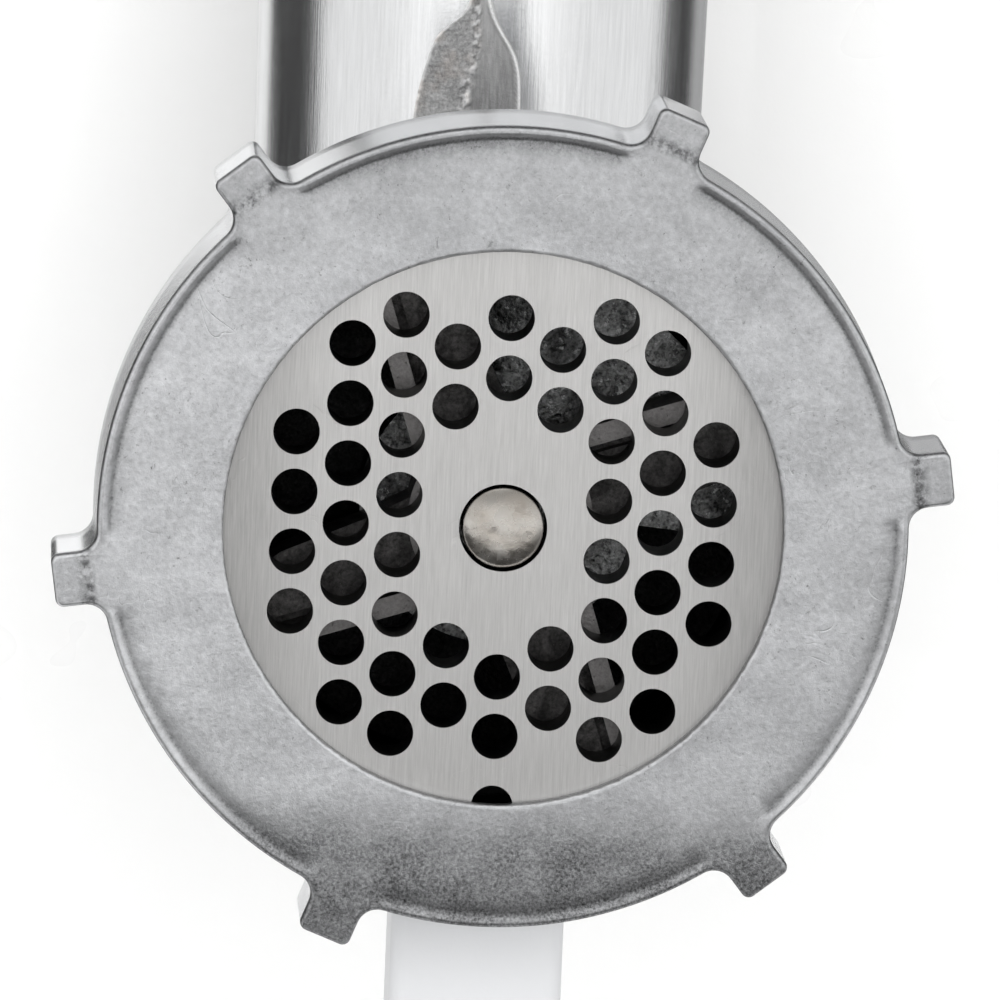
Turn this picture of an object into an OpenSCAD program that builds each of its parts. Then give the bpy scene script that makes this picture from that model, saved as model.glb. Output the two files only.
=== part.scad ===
// Electric meat grinder: a white motor housing on a footed base, with a cast
// aluminium grinding head plugged into its front. Millimetres, +Z up.
// The origin is on the table under the middle of the base; the head points to -Y
// and the auger turns on an axis parallel to Y.

/* [Grinding head] */
// Height of the auger axis above the table
axis_h = 130; // [120:1:145]
// Outer diameter of the ring nut at its front face
ring_d = 73.3; // [70:0.1:76]
// Diameter over the lugs of the ring nut
lug_tip_d = 81.7; // [78:0.1:86]
// Width of one lug at its tip
lug_w = 4.9; // [3.5:0.1:7]
// Angle of the first lug, seen from the front
lug_angle = 8.5; // [0:0.5:59.5]
// Diameter of the opening in the ring nut
ring_opening_d = 50.6; // [48:0.1:52]
// Diameter of the hole plate
plate_d = 53.5; // [53:0.1:53.5]
// Thickness of the hole plate
plate_t = 5; // [4:0.1:5]
// Diameter of one hole in the plate
hole_d = 4.2; // [3:0.1:4.5]
// Distance between neighbouring holes
hole_pitch = 5.475; // [5:0.005:5.6]
// Diameter of the centre bore of the plate
plate_bore_d = 8; // [7.6:0.1:9]
// Diameter of the round pin at the front of the auger
pin_d = 7.4; // [7:0.1:7.5]
// Outer diameter of the feed tube at its top
tube_top_d = 44.8; // [44:0.1:46]
// Outer diameter of the feed tube at the auger axis
tube_low_d = 42.8; // [42:0.1:43.5]
// Height of the feed tube above the auger axis
tube_h = 92; // [80:1:110]
// Pitch of the auger flight
flight_pitch = 24; // [18:1:30]

/* [Tray and pusher] */
// Width of the feed tray
tray_w = 190; // [150:1:210]
// Depth of the feed tray from front to back
tray_l = 126; // [100:1:140]
// Height of the feed tray wall
tray_h = 24; // [15:1:35]
// Diameter of the pusher
pusher_d = 37; // [34:0.1:37.4]
// Length of the pusher
pusher_l = 104; // [90:1:130]

/* [Housing] */
// Width of the housing
body_w = 160; // [154:1:176]
// Height of the top of the housing above the table
body_top = 205; // [200:1:215]
// Position of the front panel behind the origin
body_front = -38; // [-38:1:-38]
// Position of the rear wall
body_rear = 134; // [134:1:150]
// Wall thickness of the housing
wall = 3; // [2.5:0.1:4]
// Radius of the housing edges
edge_r = 14; // [10:1:18]
// Width of the front leg
leg_w = 16; // [14:0.1:22]

/* [Drive] */
// Module of the output gear pair
mod_out = 1.25; // [1.25:0.05:1.25]
// Module of the motor pinion pair
mod_in = 0.8; // [0.8:0.05:0.8]
// Teeth of the output gear
z_out = 50; // [50:1:50]
// Teeth of the large wheel of the compound gear
z_wheel = 60; // [60:1:60]
// Teeth of each pinion
z_pin = 10; // [10:1:10]

/* [Hidden] */
$fn = 96;
ring_y = -150;                       // front face of the ring nut
ring_len = 11;
lip = 1.5;                           // front lip that holds the plate
draft = 1.5;
plate_y = ring_y + lip;
knife_y = plate_y + plate_t + 0.05;
knife_t = 6;
auger_y = knife_y + knife_t + 0.1;
neck_y = -48;                        // back wall of the chamber
auger_end = neck_y - 2.1;
tube_y = -75;
taper_y = -74;                       // behind this the chamber narrows
rear_r = 21;                       // chamber radius at its back wall
neck_r = 21.05;
neck_end = -16;
chamber_r = 25.8;
seat_r = plate_d / 2 + 0.05;
mouth_r = 31;
land_y = ring_y + 10.5;
thread_pitch = 2.25;
leg_y = -134;
leg_t = 12;
base_t = 8;
base_z = 7;
split_y = 60;
tray_z = axis_h + tube_h;
pusher_z = axis_h + 36;              // underside of the pusher when fully down
tray_t = 1.2;
tray_floor = tray_z + 2 + tray_t;
collar_r = 25;                       // stop collar that lands on the tray floor
grip_r = 25;
base_screw_y = [8, 92];
shoulder_r = 28.3;                   // outside of the barrel behind its mouth
leg_saddle_r = shoulder_r + 0.3;
bush_end = -30;
socket_r = 20.7;                     // seat of the tray in the top of the feed tube
comp_x = -22;
comp_dist = mod_out * (z_out + z_pin) / 2;
comp_z = axis_h - sqrt(comp_dist * comp_dist - comp_x * comp_x);
mot_dist = mod_in * (z_wheel + z_pin) / 2;
motor_z = comp_z - sqrt(mot_dist * mot_dist - comp_x * comp_x);
btn_z = axis_h + 46;
panel_x = body_w / 2;
rock_y = 20;
rock_z = 96;
rev_z = 62;
lamp_z = 122;
foot_x = 62;
foot_y0 = -20;
foot_y1 = 116;
tongue_foot_y = -122;
inlet_z = 34;
inlet_x = -45;

// Corners of the gearbox where the pillars stand, relative to the origin
pillars = [[-46, axis_h + 26], [46, axis_h + 26], [-46, 66], [46, 66]];
box_y0 = -12;
box_y1 = 26;
plate_th = 4;

// Angle of the line from the output axis to the compound axis
comp_angle = atan2(comp_z - axis_h, comp_x);
// Angle of the line from the compound axis to the motor axis
mot_angle = atan2(motor_z - comp_z, -comp_x);
gear_turn = comp_angle;
small_turn = comp_angle + 180 + 180 / z_pin;
wheel_turn = mot_angle;
pinion_turn = mot_angle + 180 + 180 / z_pin;

mot_y0 = 30;
mot_y1 = 126;
stat_y0 = 58;
stat_y1 = 96;

// ---------------------------------------------------------------- helpers
// A cylinder or cone along Y from y0 to y1
module ycyl(y0, y1, r, r2 = -1)
  translate([0, y0, 0]) rotate([-90, 0, 0])
    cylinder(h = y1 - y0, r1 = r, r2 = r2 < 0 ? r : r2);

// A tube along Y
module ytube(y0, y1, r, ri)
  difference() { ycyl(y0, y1, r); ycyl(y0 - 1, y1 + 1, ri); }

// A flat shape drawn in X and Z, given thickness from y0 to y1
module yext(y0, y1)
  translate([0, y1, 0]) rotate([90, 0, 0]) linear_extrude(y1 - y0) children();

// A block given by its low and high corners
module block(a, b) translate(a) cube(b - a);

// A flat rounded rectangle centred on the origin
module rrect(w, h, r) {
  square([w - 2 * r, h], center = true);
  square([w, h - 2 * r], center = true);
  for (sx = [-1, 1], sy = [-1, 1])
    translate([sx * (w / 2 - r), sy * (h / 2 - r)]) circle(r);
}

// A screw along +Z with its head on top and a cross slot
module screw(d, len, head_d, head_h) difference() {
  union() {
    translate([0, 0, -len]) cylinder(h = len, d = d, $fn = 24);
    cylinder(h = head_h, d = head_d, $fn = 32);
  }
  for (a = [0, 90]) rotate(a)
    translate([-head_d * 0.3, -0.4, head_h * 0.5]) cube([head_d * 0.6, 0.8, head_h]);
}

// Points of an arc, for outlines
function arc(cx, cy, r, a0, a1, n) =
  [for (i = [0:n]) let (a = a0 + (a1 - a0) * i / n) [cx + r * cos(a), cy + r * sin(a)]];

// Involute flank: the angle by which a flank has turned at radius r
function inv_angle(rb, r) =
  r <= rb ? 0 : let (t = sqrt(r * r / rb / rb - 1)) t * 180 / PI - atan(t);

// Outline of a spur gear: teeth, module, addendum and dedendum in modules
module gear2d(teeth, m, add, ded, slack) {
  rp = teeth * m / 2;
  rb = rp * cos(20);
  ra = rp + add * m;
  rr = rp - ded * m;
  half = 90 / teeth - slack / rp * 180 / PI + inv_angle(rb, rp);
  rs = max(rb, rr);
  flank = [for (i = [0:3]) let (r = rs + (ra - rs) * i / 3)
    [r, half - inv_angle(rb, r)]];
  polygon([for (k = [0:teeth - 1]) let (c = 360 * k / teeth) each concat(
    [[rr * cos(c - half), rr * sin(c - half)]],
    [for (f = flank) [f[0] * cos(c - f[1]), f[0] * sin(c - f[1])]],
    [for (i = [3:-1:0]) let (f = flank[i]) [f[0] * cos(c + f[1]), f[0] * sin(c + f[1])]],
    [[rr * cos(c + half), rr * sin(c + half)]])]);
}

// Places children on the auger axis
module on_axis() translate([0, 0, axis_h]) children();
module on_comp() translate([comp_x, 0, comp_z]) children();
module on_motor() translate([0, 0, motor_z]) children();

// ---------------------------------------------------------------- head
// Outline of one lug of the ring nut with filleted roots, pointing along +X
module lug2d(r_in, r_out, w, fil) {
  h = w / 2;
  y1 = h + fil;
  rx = sqrt(pow(ring_d / 2, 2) - h * h);
  tip = 0.8;
  polygon(concat([[r_in, -y1]],
    arc(rx + fil, -y1, fil, 165, 90, 8),
    arc(r_out - tip, -h + tip, tip, -90, 0, 5),
    arc(r_out - tip, h - tip, tip, 0, 90, 5),
    arc(rx + fil, y1, fil, -90, -165, 8), [[r_in, y1]]));
}

// Radius of the threaded zone: zigzag ridges between y0 and y1
function ridges(y0, y1, r, depth) = let (n = round((y1 - y0) / thread_pitch))
  [for (i = [0:2 * n]) [r - (i % 2) * depth, y0 + (y1 - y0) * i / (2 * n)]];

// Turns an outline of [radius, y] points about the auger axis
module turned(pts) rotate([-90, 0, 0]) rotate_extrude($fn = 128) polygon(pts);

module ring_nut() color([0.72, 0.73, 0.75]) on_axis() {
  r0 = ring_d / 2;
  r1 = r0 + ring_len * tan(draft);
  back = ring_y + ring_len;
  bev = 1.6;
  difference() {
    union() {
      turned(concat([[10, ring_y]],
        [for (p = arc(r0 - bev, ring_y + bev, bev, -90, 0, 8)) p],
        [[r1, back], [10, back]]));
      for (i = [0:5]) rotate([0, -lug_angle - 60 * i, 0])
        yext(ring_y, back) lug2d(r0 - 4, lug_tip_d / 2, lug_w, 2);
    }
    ycyl(ring_y - 1, back, ring_opening_d / 2);
    turned(concat([[10, plate_y], [mouth_r - 0.55, plate_y], [mouth_r - 0.55, plate_y + 1.2]],
      ridges(plate_y + 1.2, land_y, mouth_r + 0.35, 0.9),
      [[mouth_r + 0.06, land_y], [mouth_r + 0.06, back + 1], [10, back + 1]]));
  }
}

module hole_plate() color([0.78, 0.77, 0.76]) on_axis() {
  p = hole_pitch;
  difference() {
    ycyl(plate_y + 0.02, plate_y + plate_t, plate_d / 2);
    ycyl(plate_y - 1, plate_y + plate_t + 1, plate_bore_d / 2);
    for (n = [-4:4], k = [-5:5]) {
      x = n * p * sqrt(3) / 2;
      z = (k + (n % 2 == 0 ? 0.5 : 0)) * p;
      r = norm([x, z]);
      if (r > 1.75 * p && r < 4 * p)
        translate([x, 0, z]) ycyl(plate_y - 1, plate_y + plate_t + 1, hole_d / 2);
    }
    translate([0, 0, -plate_d / 2 + 1.15]) ycyl(plate_y - 1, plate_y + plate_t + 1, 1.9);
  }
}

module knife() color([0.42, 0.42, 0.43]) on_axis() {
  arm_a = 17.8;
  y0 = knife_y;
  lead = 5.92;                          // cutting side of an arm, off its centre line
  land = 1.8;                           // width of the raised cutting strip
  relief = 0.85;                        // width of the groove behind the strip
  difference() {
    union() {
      ycyl(y0 + 0.2, y0 + knife_t, 8.4);
      for (k = [0:3]) rotate([0, -arm_a - 90 * k, 0]) {
        yext(y0 + 0.9, y0 + knife_t) polygon([[4, -4.6], [12, -3.2], [20, -2.4],
          [24.2, -1], [24.4, lead], [4, lead]]);
        yext(y0, y0 + 1) translate([6, lead - land]) square([18.2, land]);
      }
    }
    yext(y0 - 1, y0 + knife_t + 1) square(9.1, center = true);
    for (k = [0:3]) rotate([0, -arm_a - 90 * k, 0])
      yext(y0 - 1, y0 + 2.6) translate([9, lead - land - relief]) square([20, relief]);
  }
}

module auger() color([0.66, 0.67, 0.69]) on_axis() {
  sect = [-79, 5.5];                      // angles taken by the front end of the flight
  flight_r = 25.3;
  nose_r = 22.5;                        // the flight is chamfered to this at its front face
  hub_r = 12.6;
  len = auger_end - auger_y - 1.5;
  // round front pin with a slightly domed end
  ycyl(plate_y + 0.35, knife_y + 0.5, pin_d / 2);
  ycyl(plate_y - 0.25, plate_y + 0.35, pin_d / 2 - 0.5, pin_d / 2);
  yext(knife_y + 0.1, auger_y + 0.5) square(8.8, center = true);
  ycyl(auger_y, auger_end, hub_r, hub_r + 1);
  ycyl(auger_end - 1.6, auger_end - 0.1, rear_r - 0.6);
  intersection() {
    translate([0, auger_y, 0]) rotate([-90, 0, 0])
      linear_extrude(len, twist = 360 * len / flight_pitch, slices = 80, segments = 14)
        polygon(concat([[0, 0]], arc(0, 0, flight_r + 0.3, sect[0], sect[1], 7)));
    turned([[0, auger_y], [nose_r, auger_y], [flight_r, auger_y + 5], [flight_r, taper_y],
      [rear_r - 0.5, auger_end - 0.5], [0, auger_end - 0.5]]);
  }
  ycyl(auger_end - 0.2, bush_end + 1.9, 7);
  translate([0, bush_end + 1.8, 0]) rotate([-90, 0, 0]) rotate(30) cylinder(h = 16.1, r = 5.77, $fn = 6);
}

module barrel() color([0.75, 0.76, 0.78]) on_axis() {
  mouth_y = plate_y + 0.1;
  difference() {
    union() {
      turned(concat([[5, mouth_y], [mouth_r - 0.9, mouth_y], [mouth_r - 0.9, plate_y + 1.2]],
        ridges(plate_y + 1.2, land_y, mouth_r, 0.9),
        [[mouth_r, land_y], [mouth_r, -136], [shoulder_r, -134.4], [shoulder_r, taper_y],
         [rear_r + 3.4, neck_y - 3], [neck_r, neck_y + 1.5], [neck_r, neck_end], [5, neck_end]]));
      translate([0, tube_y, 0])
        cylinder(h = tube_h, d1 = tube_low_d, d2 = tube_top_d);
      translate([0, tube_y, tube_h - 5]) cylinder(h = 5, d = tube_top_d + 4);
    }
    ycyl(mouth_y - 1, knife_y + knife_t + 0.3, seat_r);
    turned([[0, mouth_y], [chamber_r, mouth_y], [chamber_r, taper_y], [rear_r, neck_y],
      [0, neck_y]]);
    ycyl(neck_y - 1, neck_y + 5, 8.5);
    ycyl(neck_y + 4, neck_end + 1, 13);
    // feed throat, opened into the chamber
    translate([0, tube_y, 12]) cylinder(h = tube_h, d1 = tube_low_d - 4, d2 = tube_top_d - 4);
    translate([0, tube_y, tube_h - 15]) cylinder(h = 16, r = socket_r);
    // keyway that stops the head from turning in its socket
    block([-2.7, -23, neck_r - 3.2], [2.7, neck_end + 1, neck_r + 1]);
    // long grooves that stop the meat from turning with the screw
    for (a = [60:60:300]) rotate([0, a + 30, 0])
      block([-1.5, -128, chamber_r - 1], [1.5, -101, chamber_r + 0.9]);
  }
  // key that enters the notch of the plate
  block([-1.5, plate_y + 0.6, -seat_r - 0.5], [1.5, plate_y + plate_t - 0.2, -seat_r + 0.75]);
}

module auger_washer() color([0.9, 0.9, 0.86]) on_axis()
  ytube(auger_end + 0.05, neck_y - 0.02, 18, 7.06);

module auger_bush() color([0.72, 0.55, 0.32]) on_axis() difference() {
  union() { ycyl(neck_y + 4.02, bush_end, 12.98); ycyl(neck_y + 0.1, neck_y + 4.1, 8.48); }
  ycyl(neck_y - 5, bush_end + 5, 7.06);
}

module feed_tray() color([0.78, 0.79, 0.81]) translate([0, tube_y, tray_z]) {
  difference() {
    union() {
      translate([0, 0, 2]) linear_extrude(tray_h) rrect(tray_w, tray_l, 24);
      translate([0, 0, 1 + tray_h]) linear_extrude(1.6) rrect(tray_w + 8, tray_l + 8, 28);
      translate([0, 0, -13]) cylinder(h = 16, r = socket_r - 0.07);
      cylinder(h = 3, r = tube_top_d / 2 + 2);
    }
    translate([0, 0, 2 + tray_t]) linear_extrude(tray_h + 5)
      rrect(tray_w - 2 * tray_t, tray_l - 2 * tray_t, 24 - tray_t);
    translate([0, 0, -20]) cylinder(h = 40, r = pusher_d / 2 + 0.6);
  }
}

module pusher() color([0.93, 0.93, 0.92]) translate([0, tube_y, pusher_z]) {
  r = pusher_d / 2;
  stop = tray_floor + 0.05 - pusher_z;
  difference() {
    rotate_extrude($fn = 96) polygon(concat([[0, 0], [r - 2, 0], [r, 2], [r, stop]],
      arc(collar_r - 2, stop + 2, 2, -90, 90, 8),
      [[r, stop + 4], [r, pusher_l - 12]],
      arc(grip_r - 3, pusher_l - 8, 3, -90, 0, 5), arc(grip_r - 3, pusher_l - 3, 3, 0, 90, 6),
      [[0, pusher_l]]));
    translate([0, 0, 3]) cylinder(h = pusher_l, r = r - 2.5);
  }
}

module pusher_cap() color([0.93, 0.93, 0.92]) translate([0, tube_y, pusher_z + pusher_l]) {
  r = pusher_d / 2 - 2.55;
  rotate_extrude($fn = 96) polygon(concat([[0, 0.02], [r - 2, 0.02], [r - 2, -8], [r, -8],
    [r, 0.02], [grip_r - 2.5, 0.02]], arc(grip_r - 4.5, 1.5, 2, 0, 90, 6), [[0, 4.2]]));
}

// ---------------------------------------------------------------- housing
// The outside of the whole housing, shrunk by d
module body_form(d) hull() {
  a = [-body_w / 2 + d, body_front + d, base_z + base_t + d];
  b = [body_w / 2 - d, body_rear - d, body_top - d];
  r = edge_r - d;
  for (x = [a[0] + r, b[0] - r], y = [a[1] + r, b[1] - r]) {
    translate([x, y, a[2]]) cylinder(h = 1, r = r, $fn = 40);
    translate([x, y, b[2] - r - (y > 0 ? 22 : 0)]) sphere(r, $fn = 40);
  }
}

// The housing wall between y0 and y1, with a screw-flange ring inside the bottom
module body_shell(y0, y1) intersection() {
  difference() { body_form(0); body_form(wall); }
  block([-200, y0, 0], [200, y1, 400]);
}

// A boss on the floor of the housing that takes a screw through the base plate
module base_boss(x, y) translate([x, y, base_z + base_t + 1]) cylinder(h = 18, r = 5);
module base_boss_hole(x, y) translate([x, y, base_z + base_t - 1]) cylinder(h = 17, r = 1.45);

// Slots that let cooling air in through the underside
module floor_slots() for (i = [-4:4])
  translate([i * 9, 100, 0]) linear_extrude(40) rrect(4, 40, 1.95);

module front_housing() color([0.95, 0.95, 0.94]) {
  difference() {
    union() {
      body_shell(-60, split_y);
      // inner lip that the rear shell slides over
      difference() {
        union() {
          intersection() {
            body_form(wall - 0.1);
            block([-200, split_y - 8, 30], [200, split_y - 0.1, 400]);
          }
          intersection() {
            body_form(wall + 0.15);
            block([-200, split_y - 0.2, 30], [200, split_y + 5, 400]);
          }
        }
        body_form(wall + 2);
      }
      translate([0, 0, btn_z]) ycyl(body_front + 1, -26, 13.5);
      for (p = pillars) translate([p[0], 0, p[1]])
        ytube(body_front + 1, box_y0 - 0.02, 7.5, 4.5);
      for (x = [-foot_x, foot_x]) base_boss(x, base_screw_y[0]);
      for (x = [-1, 1]) translate([x * (body_w / 2 - 17), 0, 150]) ycyl(body_front + 1, split_y - 2, 5);
    }
    on_axis() ycyl(body_front - 5, -30, neck_r + 0.5);
    translate([0, 0, btn_z]) { ycyl(body_front - 5, -34.8, 9.3); ycyl(-35, -20, 11.8); }
    // recess for the control plate
    block([panel_x - 1.6, rock_y - 17, 44], [panel_x + 5, rock_y + 17, 140]);
    block([panel_x - 8, rock_y - 12, 48], [panel_x + 5, rock_y + 12, 134]);
    for (x = [-1, 1]) translate([x * (body_w / 2 - 17), 0, 150]) ycyl(30, split_y + 1, 1.6);
    for (x = [-foot_x, foot_x]) base_boss_hole(x, base_screw_y[0]);
  }
}

module rear_housing() color([0.95, 0.95, 0.94]) difference() {
  union() {
    body_shell(split_y + 0.4, 300);
    for (x = [-1, 1]) translate([x * (body_w / 2 - 17), 0, 150]) ycyl(split_y + 0.4, body_rear - 1, 6);
    for (x = [-foot_x, foot_x]) base_boss(x, base_screw_y[1]);
  }
  for (x = [-foot_x, foot_x]) base_boss_hole(x, base_screw_y[1]);
  floor_slots();
  // air slots in the rear wall and along both sides
  for (i = [0:8]) translate([0, body_rear - 6, 62 + 9 * i])
    rotate([-90, 0, 0]) linear_extrude(20) rrect(78, 4, 1.95);
  for (i = [0:4]) translate([0, 82 + 8 * i, 80]) rotate([90, 0, 90])
    translate([0, 0, -100]) linear_extrude(200) rrect(3.6, 60, 1.75);
  translate([inlet_x, 0, inlet_z]) ycyl(body_rear - 6, body_rear + 5, 8.05);
  for (x = [-1, 1]) translate([x * (body_w / 2 - 17), 0, 150]) {
    ycyl(40, body_rear + 5, 2.1);
    ycyl(split_y + 8, body_rear + 5, 4.2);
  }
}

module base_plate() color([0.9, 0.9, 0.89]) difference() {
  union() {
    translate([0, (body_front + body_rear) / 2, base_z]) linear_extrude(base_t)
      rrect(body_w, body_rear - body_front, edge_r);
    translate([0, (leg_y - 4 + body_front) / 2 + 8, base_z]) linear_extrude(base_t)
      rrect(56, body_front - leg_y + 20, 16);
  }
  for (x = [-foot_x, foot_x], y = [foot_y0, foot_y1])
    translate([x, y, base_z - 1]) cylinder(h = 7, r = 1.4);
  translate([0, tongue_foot_y + 20, base_z - 1]) cylinder(h = 7, r = 1.4);
  for (x = [-foot_x, foot_x], y = base_screw_y) translate([x, y, base_z - 1]) {
    cylinder(h = 40, r = 1.8);
    cylinder(h = 4, r = 4);
  }
  for (s = [-1, 1]) translate([s * 4.5, leg_y + leg_t / 2, base_z - 1]) {
    cylinder(h = 20, r = 1.7);
    cylinder(h = 4, r = 3.4);
  }
  floor_slots();
}

module one_foot(x, y) translate([x, y, 0]) difference() {
  union() { cylinder(h = 1.5, r1 = 9, r2 = 10); translate([0, 0, 1.5]) cylinder(h = base_z - 1.5, r = 10); }
  translate([0, 0, -1]) cylinder(h = 20, r = 1.6);
  translate([0, 0, -1]) cylinder(h = 4, r = 3.6);
}

module feet() color([0.2, 0.2, 0.21]) {
  for (x = [-foot_x, foot_x], y = [foot_y0, foot_y1]) one_foot(x, y);
  one_foot(0, tongue_foot_y + 20);
}

module foot_screws() color([0.7, 0.7, 0.72]) {
  for (x = [-foot_x, foot_x], y = [foot_y0, foot_y1])
    translate([x, y, 2.95]) mirror([0, 0, 1]) screw(2.7, 8.5, 6.4, 1.8);
  translate([0, tongue_foot_y + 20, 2.95]) mirror([0, 0, 1]) screw(2.7, 8.5, 6.4, 1.8);
}

module front_leg() color([0.92, 0.92, 0.91]) difference() {
  union() {
    block([-leg_w / 2 + 1.5, leg_y, base_z + base_t], [leg_w / 2 - 1.5, leg_y + leg_t, axis_h - 27]);
    block([-leg_w / 2, leg_y + 1.5, base_z + base_t], [leg_w / 2, leg_y + leg_t - 1.5, axis_h - 27]);
    for (x = [-1, 1], y = [leg_y + 1.5, leg_y + leg_t - 1.5])
      translate([x * (leg_w / 2 - 1.5), y, base_z + base_t])
        cylinder(h = axis_h - 27 - base_z - base_t, r = 1.5, $fn = 32);
    translate([0, leg_y + leg_t / 2 + 3, base_z + base_t]) linear_extrude(4) rrect(30, leg_t + 10, 5);
  }
  on_axis() ycyl(leg_y - 5, leg_y + 30, leg_saddle_r + 1);
  for (s = [-1, 1]) translate([s * 4.5, leg_y + leg_t / 2, 10]) cylinder(h = 14, r = 1.4);
}

module leg_pad() color([0.85, 0.85, 0.84]) intersection() {
  on_axis() ytube(leg_y + 0.8, leg_y + leg_t - 0.8, leg_saddle_r + 0.98, leg_saddle_r);
  block([-leg_w / 2 + 0.4, -200, 60], [leg_w / 2 - 0.4, 0, axis_h]);
}

module leg_screws() color([0.7, 0.7, 0.72]) for (s = [-1, 1])
  translate([s * 4.5, leg_y + leg_t / 2, base_z + 2.95]) mirror([0, 0, 1]) screw(2.7, 12, 6.2, 1.8);

module base_screws() color([0.7, 0.7, 0.72]) for (x = [-foot_x, foot_x], y = base_screw_y)
  translate([x, y, base_z + 2.95]) mirror([0, 0, 1]) screw(2.7, 16, 7, 2);

module housing_screws() color([0.7, 0.7, 0.72]) for (x = [-1, 1])
  translate([x * (body_w / 2 - 17), split_y + 8.02, 150]) rotate([-90, 0, 0]) screw(3.1, 26, 7.6, 2.6);

// ---------------------------------------------------------------- coupling
module head_socket() color([0.6, 0.61, 0.63]) on_axis() difference() {
  union() { ycyl(body_front + wall + 0.1, -12, 27); ycyl(-16, -12, 38); }
  ycyl(-60, 0, neck_r + 0.05);
  block([-2.9, -24, 10], [2.9, -10, 60]);
  for (a = [65:90:335]) rotate([0, a, 0]) translate([0, 0, 33]) ycyl(-30, 0, 2.1);
}

module socket_screws() color([0.7, 0.7, 0.72]) on_axis()
  for (a = [65:90:335]) rotate([0, a, 0]) translate([0, -16.02, 33]) rotate([90, 0, 0])
    screw(3.9, 11, 7, 2.4);

module release_button() color([0.3, 0.31, 0.33]) {
  translate([0, 0, btn_z]) {
    ycyl(body_front - 3, -34.5, 9.1);
    ycyl(-34.6, -33, 11.5);
    ycyl(-33.1, -17, 3.5);
  }
  // latch tongue that reaches down into the keyway of the head
  block([-2.4, -22, axis_h + neck_r - 2.6], [2.4, -18, btn_z]);
}

// ---------------------------------------------------------------- controls
module control_plate() color([0.25, 0.26, 0.28]) difference() {
  block([panel_x - 1.5, rock_y - 16.8, 44.2], [panel_x + 0.6, rock_y + 16.8, 139.8]);
  block([panel_x - 9, rock_y - 8.2, rock_z - 12.2], [panel_x + 5, rock_y + 8.2, rock_z + 12.2]);
  translate([panel_x - 5, rock_y, rev_z]) rotate([0, 90, 0]) cylinder(h = 20, r = 7.3);
  translate([panel_x - 5, rock_y, lamp_z]) rotate([0, 90, 0]) cylinder(h = 20, r = 3.05);
}

// The rocker turns on an axis along Y
module power_rocker() color([0.72, 0.12, 0.1]) translate([panel_x - 4, rock_y, rock_z])
  rotate([90, 0, 0]) {
    translate([0, 0, -7.9]) linear_extrude(15.8)
      polygon([[-2, -9], [2, -11.4], [5, -11.4], [6.2, 0], [8.2, 10.2], [2, 11.4], [-2, 9]]);
    translate([0, 0, -9.8]) cylinder(h = 19.6, r = 1.5, $fn = 32);
  }

module reverse_button() color([0.35, 0.36, 0.38]) translate([panel_x, rock_y, rev_z])
  rotate([0, 90, 0]) {
    translate([0, 0, -6]) cylinder(h = 8.2, r = 7.1);
    translate([0, 0, 2.2]) cylinder(h = 0.8, r1 = 7.1, r2 = 6.3);
    translate([0, 0, -9]) cylinder(h = 4, r = 2.5);
  }

module indicator_lamp() color([0.2, 0.75, 0.3]) translate([panel_x - 3, rock_y, lamp_z])
  rotate([0, 90, 0]) { cylinder(h = 3.6, r = 3); translate([0, 0, 3.6]) cylinder(h = 1, r1 = 3, r2 = 2); }

module switch_block() color([0.12, 0.12, 0.13]) difference() {
  block([panel_x - 24, rock_y - 11, 50], [panel_x - 1.9, rock_y + 11, 132]);
  block([panel_x - 14, rock_y - 8.4, rock_z - 13], [panel_x, rock_y + 8.4, rock_z + 13]);
  translate([panel_x - 4, rock_y - 10, rock_z]) rotate([-90, 0, 0]) cylinder(h = 20, r = 1.55, $fn = 32);
  translate([panel_x - 16, rock_y, rev_z]) rotate([0, 90, 0]) cylinder(h = 20, r = 7.6);
  translate([panel_x - 3.05, rock_y, lamp_z]) rotate([0, 90, 0]) cylinder(h = 5, r = 3.05);
}

module cord_gland() color([0.12, 0.12, 0.13]) translate([inlet_x, 0, inlet_z]) difference() {
  union() {
    ycyl(body_rear - 8, body_rear, 8);
    ycyl(body_rear, body_rear + 3, 10.5);
    ycyl(body_rear + 3, body_rear + 16, 6.5, 5.2);
  }
  ycyl(body_rear - 10, body_rear + 20, 3.6);
}

// ---------------------------------------------------------------- gearbox
module gearbox_outline() hull() for (p = pillars) translate(p) circle(8);

module gearbox_front_plate() color([0.62, 0.63, 0.65]) difference() {
  yext(box_y0, box_y0 + plate_th) gearbox_outline();
  on_axis() ycyl(-30, 30, 18.05);
  on_comp() ycyl(-30, 30, 6.05);
  for (p = pillars) translate([p[0], 0, p[1]]) ycyl(-30, 30, 2.1);
  on_axis() for (a = [65:90:335]) rotate([0, a, 0]) translate([0, 0, 33]) ycyl(-30, 0, 2);
}

module gearbox_rear_plate() color([0.62, 0.63, 0.65]) difference() {
  yext(box_y1, box_y1 + plate_th) gearbox_outline();
  on_axis() ycyl(0, 60, 14.05);
  on_comp() ycyl(0, 60, 6.05);
  on_motor() ycyl(0, 60, 11.05);
  for (p = pillars) translate([p[0], 0, p[1]]) ycyl(0, 60, 2.1);
  on_motor() for (x = [-26, 26]) translate([x, 0, 0]) ycyl(0, 60, 2.05);
}

module gearbox_pillars() color([0.55, 0.56, 0.58])
  for (p = pillars) translate([p[0], 0, p[1]]) ytube(box_y0 + plate_th, box_y1, 6, 1.75);

module gearbox_screws() color([0.7, 0.7, 0.72]) for (p = pillars) translate([p[0], 0, p[1]]) {
  translate([0, box_y1 + plate_th + 0.02, 0]) rotate([-90, 0, 0]) screw(3.4, 14, 7, 2.4);
  translate([0, box_y0 - 0.02, 0]) rotate([90, 0, 0]) screw(3.4, 14, 7, 2.4);
}

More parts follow.
